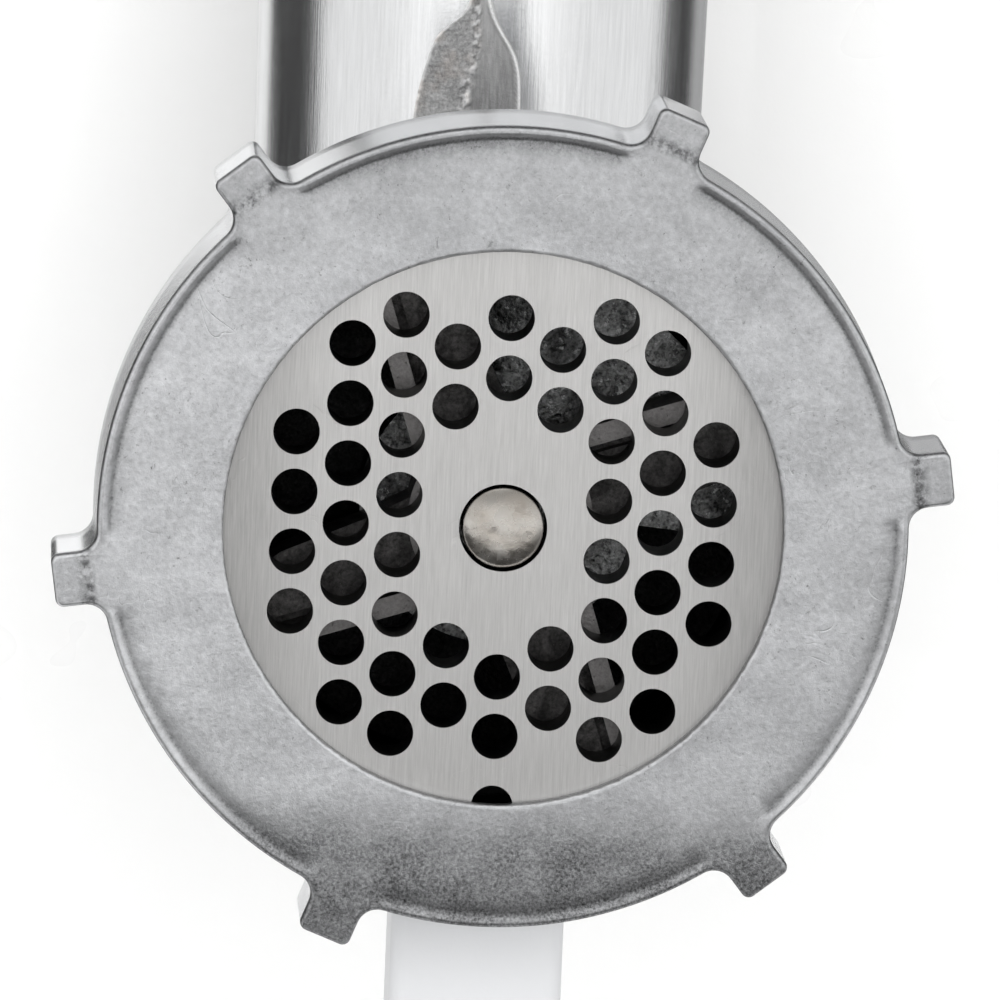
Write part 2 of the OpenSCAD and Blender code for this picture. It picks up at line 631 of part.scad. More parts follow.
module output_shaft() color([0.6, 0.6, 0.62]) on_axis() difference() {
  union() { ycyl(bush_end + 2, 0.5, 12.5); ycyl(0.4, 31, 8); }
  translate([0, bush_end, 0]) rotate([-90, 0, 0]) rotate(30) cylinder(h = 21, r = 5.98, $fn = 6);
}

module output_gear() color([0.5, 0.5, 0.52]) on_axis() difference() {
  yext(0.6, 12) rotate(gear_turn) gear2d(z_out, mod_out, 0.62, 1.2, 0.12);
  ycyl(-5, 30, 8.01);
  for (a = [0:60:300]) rotate([0, a, 0]) translate([0, 0, 19]) ycyl(-5, 30, 5.5);
}

module output_bearing() color([0.55, 0.55, 0.57]) on_axis()
  ytube(box_y0 - 0.9, box_y0 + 8, 18, 12.54);

module output_bush() color([0.72, 0.55, 0.32]) on_axis() ytube(box_y1 - 2, box_y1 + 4.5, 14, 8.04);

module compound_gear() color([0.88, 0.86, 0.78]) on_comp() difference() {
  union() {
    yext(1, 14.5) rotate(small_turn) gear2d(z_pin, mod_out, 0.9, 1.1, 0.12);
    yext(14.4, 21) rotate(wheel_turn) gear2d(z_wheel, mod_in, 0.62, 1.2, 0.09);
    ycyl(-5, 1.1, 4.6);
    ycyl(20.9, 23, 7);
  }
  ycyl(-10, 40, 2.54);
}

module compound_axle() color([0.7, 0.7, 0.72]) on_comp() ycyl(-12, 30, 2.5);

module compound_bushes() color([0.72, 0.55, 0.32]) on_comp() {
  ytube(-12, -6, 6, 2.52);
  ytube(24, 30, 6, 2.52);
}

// ---------------------------------------------------------------- motor
module motor_bracket(y0, y1, r) difference() {
  union() {
    ycyl(y0, y1, r);
    for (s = [-1, 1]) block([s > 0 ? 0 : -34, y0, -8], [s > 0 ? 34 : 0, y1, 8]);
  }
  ycyl(y0 - 1, y1 + 1, 8.02);
  for (x = [-26, 26]) translate([x, 0, 0]) ycyl(y0 - 1, y1 + 1, 2.05);
}

module motor_front_bracket() color([0.62, 0.63, 0.65]) on_motor() {
  motor_bracket(mot_y0 + 0.02, mot_y0 + 6, 15);
  for (x = [-26, 26]) translate([x, 0, 0]) ytube(mot_y0 + 6, stat_y0, 5, 2.05);
}

module motor_rear_bracket() color([0.62, 0.63, 0.65]) on_motor() {
  motor_bracket(mot_y1 - 6, mot_y1, 15);
  for (x = [-26, 26]) translate([x, 0, 0]) ytube(stat_y1, mot_y1 - 6, 5, 2.05);
}

module motor_screws() color([0.7, 0.7, 0.72]) on_motor() for (x = [-26, 26])
  translate([x, mot_y1 + 0.02, 0]) rotate([-90, 0, 0]) screw(3.9, 98, 7, 2.6);

module stator_core() color([0.45, 0.46, 0.5]) on_motor() difference() {
  yext(stat_y0, stat_y1) rrect(64, 56, 10);
  ycyl(stat_y0 - 1, stat_y1 + 1, 17);
  for (s = [-1, 1]) yext(stat_y0 - 1, stat_y1 + 1) translate([0, s * 17]) rrect(34, 9, 3);
  for (x = [-26, 26]) translate([x, 0, 0]) ycyl(0, 200, 2.05);
}

module field_coils() color([0.75, 0.4, 0.18]) on_motor() for (s = [-1, 1])
  difference() {
    yext(stat_y0 - 7, stat_y1 + 7) translate([0, s * 18]) rrect(30, 6, 2.4);
    yext(stat_y0 + 1, stat_y1 - 1) translate([0, s * 18]) square([20, 10], center = true);
    ycyl(0, 200, 17.3);
  }

module armature_shaft() color([0.7, 0.7, 0.72]) on_motor() ycyl(12, mot_y1 + 3, 2.5);

module motor_pinion() color([0.72, 0.55, 0.32]) on_motor() difference() {
  yext(13.5, 23) rotate(pinion_turn) gear2d(z_pin, mod_in, 0.9, 1.1, 0.09);
  ycyl(0, 40, 2.51);
}

module armature_core() color([0.45, 0.46, 0.5]) on_motor() difference() {
  ycyl(stat_y0, stat_y1, 16.4);
  ycyl(0, 200, 2.51);
  for (a = [0:30:330]) rotate([0, a, 0]) block([-1.2, stat_y0 - 1, 10], [1.2, stat_y1 + 1, 17]);
}

module armature_winding() color([0.75, 0.4, 0.18]) on_motor() {
  ytube(stat_y0 - 7, stat_y0 - 0.02, 14, 2.52);
  ytube(stat_y1 + 0.02, stat_y1 + 6, 14, 2.52);
}

module commutator() color([0.78, 0.45, 0.25]) on_motor() difference() {
  ytube(stat_y1 + 6.5, stat_y1 + 19, 9, 2.52);
  for (a = [0:30:330]) rotate([0, a, 0]) block([-0.25, 0, 8], [0.25, 200, 10]);
}

module cooling_fan() color([0.9, 0.88, 0.8]) on_motor() {
  ytube(mot_y0 + 9, mot_y0 + 19.5, 6, 2.52);
  ytube(mot_y0 + 17.5, mot_y0 + 19.5, 19, 5.9);
  for (a = [0:40:320]) rotate([0, a, 0])
    block([-0.7, mot_y0 + 10, 5.5], [0.7, mot_y0 + 17.6, 18.5]);
}

module motor_bearings() color([0.55, 0.55, 0.57]) on_motor() {
  ytube(mot_y0 + 0.02, mot_y0 + 7, 8, 2.53);
  ytube(mot_y1 - 6, mot_y1, 8, 2.53);
}

module brush_holders() color([0.12, 0.12, 0.13]) on_motor() for (s = [-1, 1])
  translate([0, stat_y1 + 12.5, s * 17]) difference() {
    block([-5, -4.5, -7.5], [5, 11.5, 7.5]);
    block([-3.05, -2.55, -10], [3.05, 2.55, 10]);
  }

module carbon_brushes() color([0.15, 0.15, 0.16]) on_motor() for (s = [-1, 1])
  translate([0, stat_y1 + 12.5, s * 15.6]) block([-3, -2.5, -6.2], [3, 2.5, 6.2]);

ring_nut();
hole_plate();
knife();
auger();
barrel();
auger_washer();
auger_bush();
feed_tray();
pusher();
pusher_cap();
front_housing();
rear_housing();
base_plate();
feet();
foot_screws();
front_leg();
leg_pad();
leg_screws();
base_screws();
housing_screws();
head_socket();
socket_screws();
release_button();
control_plate();
power_rocker();
reverse_button();
indicator_lamp();
switch_block();
cord_gland();
gearbox_front_plate();
gearbox_rear_plate();
gearbox_pillars();
gearbox_screws();
output_shaft();
output_gear();
output_bearing();
output_bush();
compound_gear();
compound_axle();
compound_bushes();
motor_front_bracket();
motor_rear_bracket();
motor_screws();
stator_core();
field_coils();
armature_shaft();
motor_pinion();
armature_core();
armature_winding();
commutator();
cooling_fan();
motor_bearings();
brush_holders();
carbon_brushes();
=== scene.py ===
import math
import bmesh
import bpy
from mathutils import Matrix, Vector, noise


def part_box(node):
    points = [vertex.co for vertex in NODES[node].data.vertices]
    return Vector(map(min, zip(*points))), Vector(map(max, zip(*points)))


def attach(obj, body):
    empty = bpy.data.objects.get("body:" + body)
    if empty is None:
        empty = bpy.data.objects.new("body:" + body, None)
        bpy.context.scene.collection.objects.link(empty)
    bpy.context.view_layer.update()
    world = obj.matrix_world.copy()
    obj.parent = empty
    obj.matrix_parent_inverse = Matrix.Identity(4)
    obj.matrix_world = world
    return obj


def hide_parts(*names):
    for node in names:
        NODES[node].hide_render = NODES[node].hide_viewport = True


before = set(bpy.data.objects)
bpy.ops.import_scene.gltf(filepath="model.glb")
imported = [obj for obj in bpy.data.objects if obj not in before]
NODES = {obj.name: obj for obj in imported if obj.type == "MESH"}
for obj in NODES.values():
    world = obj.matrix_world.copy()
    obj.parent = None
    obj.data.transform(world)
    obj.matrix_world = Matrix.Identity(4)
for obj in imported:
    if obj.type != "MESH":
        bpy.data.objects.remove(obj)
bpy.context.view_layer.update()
MM = 0.001


# ------------------------------------------------------------------ places
def centre(node):
    lo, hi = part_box(node)
    return (lo + hi) / 2


RING_LO, RING_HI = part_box("ring_nut")
PLATE_LO, PLATE_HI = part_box("hole_plate")
BARREL_LO, BARREL_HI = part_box("barrel")
AXIS_Z = centre("hole_plate").z
FACE_Y = RING_LO.y
TUBE_Y = centre("pusher").y


# ------------------------------------------------------------------ node materials
class Mat:
    """A small builder for a node material in object space, in millimetres."""

    def __init__(self, name):
        self.m = bpy.data.materials.new(name)
        self.m.use_nodes = True
        self.t = self.m.node_tree
        self.t.nodes.clear()
        self.out = self.t.nodes.new("ShaderNodeOutputMaterial")
        self.b = self.t.nodes.new("ShaderNodeBsdfPrincipled")
        self.t.links.new(self.b.outputs[0], self.out.inputs[0])
        tc = self.t.nodes.new("ShaderNodeTexCoord")
        self.pos = self.vmath("SCALE", tc.outputs["Object"], scale=1000.0)

    def node(self, kind, **props):
        n = self.t.nodes.new(kind)
        for k, v in props.items():
            setattr(n, k, v)
        return n

    def link(self, a, b):
        if isinstance(a, (int, float)):
            b.default_value = a
        elif isinstance(a, (tuple, list)):
            b.default_value = (*a, 1.0) if len(b.default_value) == 4 and len(a) == 3 else a
        else:
            self.t.links.new(a, b)

    def vmath(self, op, a, b=None, scale=None):
        n = self.node("ShaderNodeVectorMath", operation=op)
        self.link(a, n.inputs[0])
        if b is not None:
            self.link(b, n.inputs[1])
        if scale is not None:
            n.inputs["Scale"].default_value = scale
        return n.outputs["Value"] if op in ("LENGTH", "DOT_PRODUCT") else n.outputs[0]

    def math(self, op, a, b=0.0, c=0.0, clamp=False):
        n = self.node("ShaderNodeMath", operation=op, use_clamp=clamp)
        for i, v in enumerate((a, b, c)):
            self.link(v, n.inputs[i])
        return n.outputs[0]

    def stretch(self, s, shift=(0, 0, 0)):
        """The position with each axis scaled, so that a texture is drawn out along the small ones."""
        return self.vmath("ADD", self.vmath("MULTIPLY", self.pos, s), shift)

    def noise(self, size, vec=None, detail=3.0, rough=0.55, distort=0.0):
        n = self.node("ShaderNodeTexNoise")
        self.link(vec or self.pos, n.inputs["Vector"])
        n.inputs["Scale"].default_value = 1.0 / size
        n.inputs["Detail"].default_value = detail
        n.inputs["Roughness"].default_value = rough
        n.inputs["Distortion"].default_value = distort
        return n.outputs["Fac"]

    def cells(self, size, vec=None, feature="F1", spread=1.0):
        n = self.node("ShaderNodeTexVoronoi", feature=feature)
        self.link(vec or self.pos, n.inputs["Vector"])
        n.inputs["Scale"].default_value = 1.0 / size
        n.inputs["Randomness"].default_value = spread
        return n.outputs["Distance"]

    def ramp(self, fac, *stops):
        n = self.node("ShaderNodeValToRGB")
        el = n.color_ramp.elements
        while len(el) < len(stops):
            el.new(0.5)
        for e, (p, c) in zip(el, stops):
            e.position = p
            e.color = (*c, 1.0) if isinstance(c, (tuple, list)) else (c, c, c, 1.0)
        self.link(fac, n.inputs[0])
        return n.outputs[0]

    def span(self, v, lo, hi, a=0.0, b=1.0, smooth=False):
        n = self.node("ShaderNodeMapRange", clamp=True)
        if smooth:
            n.interpolation_type = "SMOOTHSTEP"
        self.link(v, n.inputs[0])
        for i, x in enumerate((lo, hi, a, b)):
            n.inputs[i + 1].default_value = x
        return n.outputs[0]

    def mix(self, fac, a, b):
        n = self.node("ShaderNodeMix", data_type="RGBA")
        self.link(fac, n.inputs[0])
        self.link(a, n.inputs[6])
        self.link(b, n.inputs[7])
        return n.outputs[2]

    def blend(self, fac, a, b):
        n = self.node("ShaderNodeMix", data_type="FLOAT")
        self.link(fac, n.inputs[0])
        self.link(a, n.inputs[2])
        self.link(b, n.inputs[3])
        return n.outputs[0]

    def tint(self, value, colour):
        """A grey value turned into a colour."""
        n = self.node("ShaderNodeVectorMath", operation="SCALE")
        n.inputs[0].default_value = colour
        self.link(value, n.inputs["Scale"])
        return n.outputs[0]

    def xyz(self):
        n = self.node("ShaderNodeSeparateXYZ")
        self.link(self.pos, n.inputs[0])
        return n.outputs

    def bump(self, *layers):
        """Layers of (height, depth in mm), stacked into the shader's normal."""
        last = None
        for h, depth in layers:
            n = self.node("ShaderNodeBump")
            n.inputs["Strength"].default_value = 1.0
            n.inputs["Distance"].default_value = depth * MM
            self.link(h, n.inputs["Height"])
            if last is not None:
                self.link(last, n.inputs["Normal"])
            last = n.outputs[0]
        self.link(last, self.b.inputs["Normal"])

    def set(self, colour=None, rough=None, metal=0.0, **more):
        if colour is not None:
            self.link(colour, self.b.inputs["Base Color"])
        if rough is not None:
            self.link(rough, self.b.inputs["Roughness"])
        self.b.inputs["Metallic"].default_value = metal
        for k, v in more.items():
            self.b.inputs[k.replace("_", " ")].default_value = v
        return self.m


def scratches(m, size, thin, seed):
    """Thin bright lines in scattered directions, as a mask from 0 to 1."""
    a = m.noise(size, m.stretch((1, 1, 1), (seed, seed * 2.3, -seed)), 2.0, 0.5, 1.5)
    line = m.math("ABSOLUTE", m.math("SUBTRACT", a, 0.5))
    here = m.span(m.noise(size * 0.9, m.stretch((1, 1, 1), (-seed, 7, seed))), 0.56, 0.66)
    return m.math("MULTIPLY", m.span(line, 0.0, thin, 1.0, 0.0), here)


def cast_aluminium():
    m = Mat("cast_aluminium")
    x, y, z = m.xyz()
    line = m.node("ShaderNodeAttribute", attribute_name="line").outputs["Fac"]
    flat = m.vmath("MULTIPLY", m.vmath("SUBTRACT", m.pos, (0, 0, AXIS_Z / MM)), (1, 0, 1))
    r = m.vmath("LENGTH", flat)
    wall = m.span(y, FACE_Y / MM + 0.9, FACE_Y / MM + 1.3)
    blot = m.noise(8.0, detail=6.0, rough=0.62)
    fine = m.noise(0.6, detail=5.0, rough=0.75)
    grain = m.noise(0.26, detail=3.0, rough=0.7)
    scuff = m.span(m.noise(1.5, detail=6.0, rough=0.85, distort=0.8), 0.60, 0.70)
    low = m.span(z, AXIS_Z / MM - 23.0, AXIS_Z / MM - 31.0, 0.0, 1.0, True)
    low = m.math("MULTIPLY", low, m.span(m.noise(5.0, detail=3.0, rough=0.5), 0.36, 0.58, 0.75, 1.0))
    root = m.math("MULTIPLY", m.span(r, 36.9, 37.5), m.span(r, 38.9, 37.9))
    root = m.math("MULTIPLY", m.math("MULTIPLY", root, m.math("SUBTRACT", 1.0, wall)),
                  m.span(m.noise(0.8, detail=4.0, rough=0.7), 0.38, 0.6))
    scr = scratches(m, 9.0, 0.006, 3.1)
    tone = m.math("ADD", m.span(blot, 0.3, 0.7, 0.56, 0.74), m.span(fine, 0.3, 0.72, -0.13, 0.10))
    specks = m.math("MULTIPLY", m.span(m.noise(0.42, detail=3.0, rough=0.8), 0.60, 0.72),
                    m.span(m.noise(3.2, detail=4.0, rough=0.7), 0.40, 0.62))
    tone = m.math("SUBTRACT", tone, m.math("ADD", m.math("MULTIPLY", scuff, 0.24),
                                           m.math("MULTIPLY", specks, 0.42)))
    tone = m.math("SUBTRACT", tone, m.math("MULTIPLY", root, 0.42))
    # painted light and shade: the face is painted lighter towards the left and darker towards the top
    left = m.span(m.math("ADD", x, m.math("MULTIPLY", z, 0.3)), 0.3 * AXIS_Z / MM + 5.0,
                  0.3 * AXIS_Z / MM - 30.0, 1.0, 1.13, True)
    painted_top_shade = m.span(z, AXIS_Z / MM + 10.0, AXIS_Z / MM + 30.0, 1.0, 0.86, True)
    tone = m.math("MULTIPLY", tone, m.math("MULTIPLY", left, painted_top_shade))
    # darker, grainier tone towards the bottom of the ring
    grainy_low_tone = m.math("ADD", m.span(grain, 0.32, 0.7, 0.08, 0.50), m.span(blot, 0.3, 0.7, -0.05, 0.06))
    tone = m.blend(low, tone, grainy_low_tone)
    tone = m.math("ADD", tone, m.math("MULTIPLY", scr, 0.12))
    tone = m.blend(wall, tone, m.span(blot, 0.3, 0.7, 0.84, 0.92))
    # painted shade: the line attribute darkens the groove, the edges and the opening wall
    painted_line_shade = m.math("MULTIPLY", line, m.span(grain, 0.3, 0.62, 1.0, 0.55), clamp=True)
    tone = m.blend(painted_line_shade, tone, 0.04)
    rough = m.blend(wall, m.span(m.noise(3.0, detail=5.0), 0.3, 0.7, 0.38, 0.5), 0.2)
    face = m.math("SUBTRACT", 1.0, wall)
    lumps = m.math("MULTIPLY", m.noise(2.0, detail=6.0, rough=0.7), face)
    m.bump((lumps, 0.06), (m.math("MULTIPLY", fine, face), 0.03),
           (m.math("MULTIPLY", grain, m.blend(low, 0.35, 1.0)), 0.045), (scr, -0.02))
    return m.set(m.tint(tone, (0.985, 0.995, 1.015)), rough, 1.0)


def brushed_plate():
    m = Mat("brushed_plate")
    _, y, _ = m.xyz()
    streak = m.noise(0.16, m.stretch((1, 1, 0.035)), 4.0, 0.7)
    broad = m.noise(1.6, m.stretch((1, 1, 0.06)), 3.0, 0.6)
    scr = scratches(m, 6.0, 0.004, 8.7)
    r = m.vmath("LENGTH", m.vmath("MULTIPLY", m.vmath("SUBTRACT", m.pos, (0, 0, AXIS_Z / MM)), (1, 0, 0.35)))
    # painted shade: the plate is painted darker towards its left and right rims
    shade = m.span(r, 15.0, 25.5, 0.0, -0.16, True)
    tone = m.math("ADD", m.span(streak, 0.3, 0.7, 0.52, 0.66), m.span(broad, 0.3, 0.7, -0.02, 0.025))
    tone = m.math("ADD", m.math("ADD", tone, shade), m.math("MULTIPLY", scr, 0.07))
    # painted shade: the walls of the holes are painted near black
    bore = m.span(y, PLATE_LO.y / MM + 0.12, PLATE_LO.y / MM + 0.35)
    tone = m.blend(bore, tone, 0.05)
    m.bump((streak, 0.010), (scr, -0.008), (m.noise(9.0), 0.02))
    return m.set(m.tint(tone, (1.01, 1.0, 0.985)), m.span(broad, 0.3, 0.7, 0.36, 0.44), 1.0)


def knife_metal():
    m = Mat("knife_metal")
    _, y, _ = m.xyz()
    land = m.span(y, PLATE_HI.y / MM + 0.5, PLATE_HI.y / MM + 0.3)
    grain = m.noise(0.35, detail=4.0, rough=0.75)
    speck = m.span(m.cells(0.55), 0.04, 0.16, 1.0, 0.0)
    stain = m.span(m.noise(3.0, detail=4.0, distort=1.2), 0.38, 0.62, 0.45, 1.15)
    base = m.math("ADD", m.math("MULTIPLY", m.span(grain, 0.32, 0.68, 0.05, 0.17), stain),
                  m.math("MULTIPLY", speck, 0.10))
    tone = m.blend(land, base, m.span(grain, 0.3, 0.7, 0.16, 0.26))
    m.bump((grain, 0.05), (speck, 0.03))
    return m.set(m.tint(tone, (1.0, 0.965, 0.95)), m.blend(land, 0.52, 0.38), 0.9)


def auger_metal():
    m = Mat("auger_metal")
    _, y, _ = m.xyz()
    dents = m.span(m.cells(2.2), 0.0, 0.5)
    lumps = m.noise(0.8, detail=4.0, rough=0.7)
    fine = m.noise(0.3, detail=3.0)
    shine = m.span(m.noise(4.5, detail=3.0), 0.36, 0.62, 0.35, 1.0)
    tone = m.math("MULTIPLY", m.math("ADD", m.span(lumps, 0.36, 0.66, 0.16, 0.70),
                                     m.span(fine, 0.35, 0.68, -0.10, 0.28)), shine)
    pin = m.span(y, PLATE_HI.y / MM + 0.2, PLATE_HI.y / MM - 0.2)
    warm = m.ramp(m.noise(2.2, detail=4.0), (0.3, (0.34, 0.31, 0.27)), (0.55, (0.50, 0.47, 0.42)),
                  (0.75, (0.62, 0.60, 0.56)))
    # painted shade: the auger is painted near black deeper in the barrel
    painted_depth_shade = m.span(y, BARREL_LO.y / MM + 11.6, BARREL_LO.y / MM + 13.5, 0.0, 0.95, True)
    glint = m.span(m.noise(0.7, detail=3.0, rough=0.7), 0.60, 0.66)
    tone = m.math("ADD", tone, m.math("MULTIPLY", glint, 0.5))
    tone = m.blend(painted_depth_shade, tone, m.span(fine, 0.3, 0.7, 0.015, 0.04))
    col = m.mix(pin, m.tint(tone, (0.99, 1.0, 1.0)), warm)
    m.bump((lumps, 0.22), (dents, 0.10), (fine, 0.08))
    return m.set(col, m.blend(pin, m.blend(painted_depth_shade, 0.30, 0.6), 0.27), 1.0)


def pin_metal():
    m = Mat("pin_metal")
    blot = m.noise(2.4, detail=5.0, rough=0.6)
    dents = m.span(m.cells(1.5), 0.0, 0.45)
    col = m.ramp(blot, (0.30, (0.33, 0.30, 0.265)), (0.52, (0.47, 0.445, 0.41)), (0.72, (0.62, 0.60, 0.57)))
    _, _, z = m.xyz()
    # painted shade: a dark crescent across the top of the pin's end, in place of the dome's shading
    top = m.span(m.math("ADD", z, m.span(blot, 0.3, 0.7, -1.0, 1.0)), AXIS_Z / MM + 1.2, AXIS_Z / MM + 3.6,
                 0.0, 0.6, True)
    col = m.mix(top, col, (0.12, 0.11, 0.095))
    m.bump((dents, 0.03), (m.noise(0.4, detail=3.0), 0.010), (blot, 0.03))
    return m.set(col, m.span(m.noise(1.2), 0.3, 0.7, 0.2, 0.34), 1.0)


def head_metal():
    """The head casting: polished on the feed tube, as cast on the barrel below it."""
    m = Mat("head_metal")
    _, y, z = m.xyz()
    from_tube = m.vmath("LENGTH", m.vmath("MULTIPLY", m.vmath("SUBTRACT", m.pos, (0, TUBE_Y / MM, 0)),
                                          (1, 1, 0)))
    axis_r = m.vmath("LENGTH", m.vmath("MULTIPLY", m.vmath("SUBTRACT", m.pos, (0, 0, AXIS_Z / MM)),
                                       (1, 0, 1)))
    rise = m.span(z, AXIS_Z / MM + 12.0, AXIS_Z / MM + 16.0, 0.0, 1.0, True)
    tube = m.math("MULTIPLY", rise, m.span(from_tube, 24.5, 26.0, 1.0, 0.9))
    brush = m.noise(0.22, m.stretch((1, 1, 0.03)), 4.0, 0.65)
    wide = m.noise(2.6, m.stretch((1, 1, 0.08)), 4.0, 0.6)
    cross = m.noise(0.5, m.stretch((0.5, 0.5, 1)), 3.0, 0.7)
    cast = m.noise(1.1, detail=5.0, rough=0.7)
    fine = m.noise(0.35, detail=3.0, rough=0.7)
    polished = m.math("ADD", m.span(brush, 0.3, 0.7, 0.67, 0.80), m.span(wide, 0.3, 0.7, -0.05, 0.05))
    raw = m.math("ADD", m.span(m.noise(8.0, detail=5.0), 0.3, 0.7, 0.52, 0.62),
                 m.span(cast, 0.3, 0.7, -0.04, 0.04))
    tone = m.blend(tube, raw, polished)
    # painted shade: the inside of the barrel behind the ring is painted near black
    inside = m.math("MULTIPLY", m.span(axis_r, 27.2, 27.0), m.span(y, -73.5, -74.5))
    tone = m.blend(inside, tone, 0.06)
    depth = m.math("ADD", m.math("MULTIPLY", m.math("SUBTRACT", 1.0, tube), m.math("MULTIPLY", cast, 1.0)),
                   m.math("MULTIPLY", tube, m.math("MULTIPLY", brush, 0.10)))
    m.bump((depth, 0.12), (m.math("MULTIPLY", cross, tube), 0.004), (fine, 0.006))
    rough = m.blend(tube, m.span(cast, 0.3, 0.7, 0.42, 0.55), m.span(wide, 0.3, 0.7, 0.16, 0.26))
    return m.set(m.tint(tone, (0.99, 0.997, 1.005)), rough, 1.0)


def patch_metal():
    m = Mat("patch_metal")
    side = m.node("ShaderNodeAttribute", attribute_name="zone").outputs["Fac"]
    edge_highlight = m.node("ShaderNodeAttribute", attribute_name="edge_highlight").outputs["Fac"]
    grit = m.noise(0.32, detail=4.0, rough=0.8)
    blot = m.noise(1.6, detail=4.0)
    rough_tone = m.math("ADD", m.span(grit, 0.3, 0.7, 0.28, 0.66), m.span(blot, 0.3, 0.7, -0.08, 0.10))
    flow = m.noise(0.3, m.stretch((1, 1, 0.12)), 3.0, 0.6)
    _, _, z = m.xyz()
    smooth_tone = m.math("ADD", m.span(flow, 0.3, 0.7, 0.24, 0.38),
                         m.span(z, AXIS_Z / MM + 32.0, AXIS_Z / MM + 42.0, 0.0, 0.28))
    tone = m.blend(side, rough_tone, smooth_tone)
    # painted highlights along the lip, the ridge and the beads
    tone = m.blend(edge_highlight, tone, 0.97)
    brown = m.span(m.noise(3.0), 0.5, 0.62, 0.0, 0.6)
    col = m.mix(m.math("MULTIPLY", brown, m.math("SUBTRACT", 1.0, side)), m.tint(tone, (1, 1, 1)),
                m.tint(tone, (1.0, 0.93, 0.88)))
    m.bump((grit, 0.10), (blot, 0.1))
    return m.set(col, m.blend(edge_highlight, m.blend(side, 0.55, 0.42), 0.25), 1.0)


def satin_metal(name, tone, rough, size=0.3, along=(1, 1, 1), depth=0.02, warm=(1, 1, 1)):
    m = Mat(name)
    a = m.noise(size, m.stretch(along), 4.0, 0.65)
    b = m.noise(size * 14, detail=3.0)
    v = m.math("ADD", m.span(a, 0.3, 0.7, tone - 0.05, tone + 0.05), m.span(b, 0.3, 0.7, -0.03, 0.03))
    m.bump((a, depth))
    return m.set(m.tint(v, warm), m.span(b, 0.3, 0.7, rough - 0.05, rough + 0.06), 1.0)


def tray_metal():
    m = Mat("tray_metal")
    a = m.noise(0.25, m.stretch((0.04, 1, 1)), 4.0, 0.65)
    b = m.noise(14.0, detail=4.0)
    s = scratches(m, 14.0, 0.004, 2.2)
    v = m.math("ADD", m.span(a, 0.3, 0.7, 0.60, 0.70), m.math("MULTIPLY", s, 0.08))
    m.bump((a, 0.01), (s, -0.01), (b, 0.06))
    return m.set(m.tint(v, (1.0, 1.0, 1.01)), m.span(b, 0.3, 0.7, 0.26, 0.36), 1.0)


def plastic(name, colour, rough=0.3, texture=0.35, depth=0.02, coat=0.0, wear=0.03, **more):
    """Moulded plastic: a faint texture, slow patches of slightly darker tone and slightly uneven gloss."""
    m = Mat(name)
    skin = m.noise(texture, detail=3.0, rough=0.6)
    smear = m.noise(22.0, detail=2.0, rough=0.5)
    col = m.mix(m.span(smear, 0.35, 0.7), colour, [c * (1 - wear) for c in colour])
    m.bump((skin, depth))
    return m.set(col, m.span(smear, 0.3, 0.7, rough - 0.01, rough + 0.02), 0.0,
                 Coat_Weight=coat, Coat_Roughness=0.08, **more)


def rubber(name, value):
    m = Mat(name)
    a = m.noise(0.3, detail=3.0)
    dust = m.span(m.noise(5.0, detail=5.0), 0.5, 0.75, 0.0, 0.35)
    col = m.mix(dust, (value, value, value), (value + 0.12, value + 0.12, value + 0.115))
    m.bump((a, 0.03))
    return m.set(col, m.span(a, 0.3, 0.7, 0.62, 0.8), 0.0)


def windings():
    m = Mat("windings")
    turn = m.noise(0.25, m.stretch((1, 0.1, 1)), 2.0)
    col = m.ramp(turn, (0.3, (0.30, 0.09, 0.03)), (0.6, (0.62, 0.26, 0.10)))
    m.bump((turn, 0.15))
    return m.set(col, 0.35, 0.6)


def laminations():
    m = Mat("laminations")
    lines = m.noise(0.3, m.stretch((0.02, 1, 0.02)), 2.0, 0.8)
    col = m.ramp(lines, (0.35, (0.12, 0.125, 0.14)), (0.65, (0.30, 0.31, 0.34)))
    m.bump((lines, 0.08))
    return m.set(col, 0.45, 0.8)


def lens():
    m = Mat("lamp_lens")
    a = m.cells(0.8)
    m.bump((a, 0.05))
    return m.set(m.ramp(a, (0.0, (0.02, 0.36, 0.08)), (0.8, (0.05, 0.55, 0.14))), 0.12, 0.0,
                 Transmission_Weight=0.3, Coat_Weight=0.6, Coat_Roughness=0.05)


# ------------------------------------------------------------------ mesh helpers
def new_object(name, verts, faces, mat, body, smooth=True):
    me = bpy.data.meshes.new(name)
    me.from_pydata(verts, [], faces)
    me.materials.append(mat)
    ob = bpy.data.objects.new(name, me)
    bpy.context.scene.collection.objects.link(ob)
    bm = bmesh.new()
    bm.from_mesh(me)
    bmesh.ops.recalc_face_normals(bm, faces=bm.faces)
    bm.to_mesh(me)
    bm.free()
    for p in me.polygons:
        p.use_smooth = smooth
    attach(ob, body)
    return ob


def sharpen(ob, degrees=35.0):
    """Keeps hard edges hard on a smooth-shaded mesh."""
    bm = bmesh.new()
    bm.from_mesh(ob.data)
    for e in bm.edges:
        e.smooth = len(e.link_faces) != 2 or e.calc_face_angle(0.0) < math.radians(degrees)
    bm.to_mesh(ob.data)
    bm.free()


def skin(loops, close=False):
    """Faces between successive loops of equal length."""
    n = len(loops[0])
    verts = [p for loop in loops for p in loop]
    faces = []
    count = len(loops) if close else len(loops) - 1
    for k in range(count):
        a, b = k * n, ((k + 1) % len(loops)) * n
        for i in range(n):
            j = (i + 1) % n
            faces.append((a + i, a + j, b + j, b + i))
    return verts, faces


def arc_points(cx, cy, r, a0, a1, n):
    return [(cx + r * math.cos(math.radians(a0 + (a1 - a0) * i / n)),
             cy + r * math.sin(math.radians(a0 + (a1 - a0) * i / n))) for i in range(n + 1)]


# ------------------------------------------------------------------ the ring nut
RING_R = 36.65
LUG_R = 40.85
LUG_HALF = 2.45
LUG_ANGLE = 8.5
RING_DEPTH = (RING_HI.y - RING_LO.y) / MM
OPENING_R = 25.3
DRAFT = math.tan(math.radians(1.5))


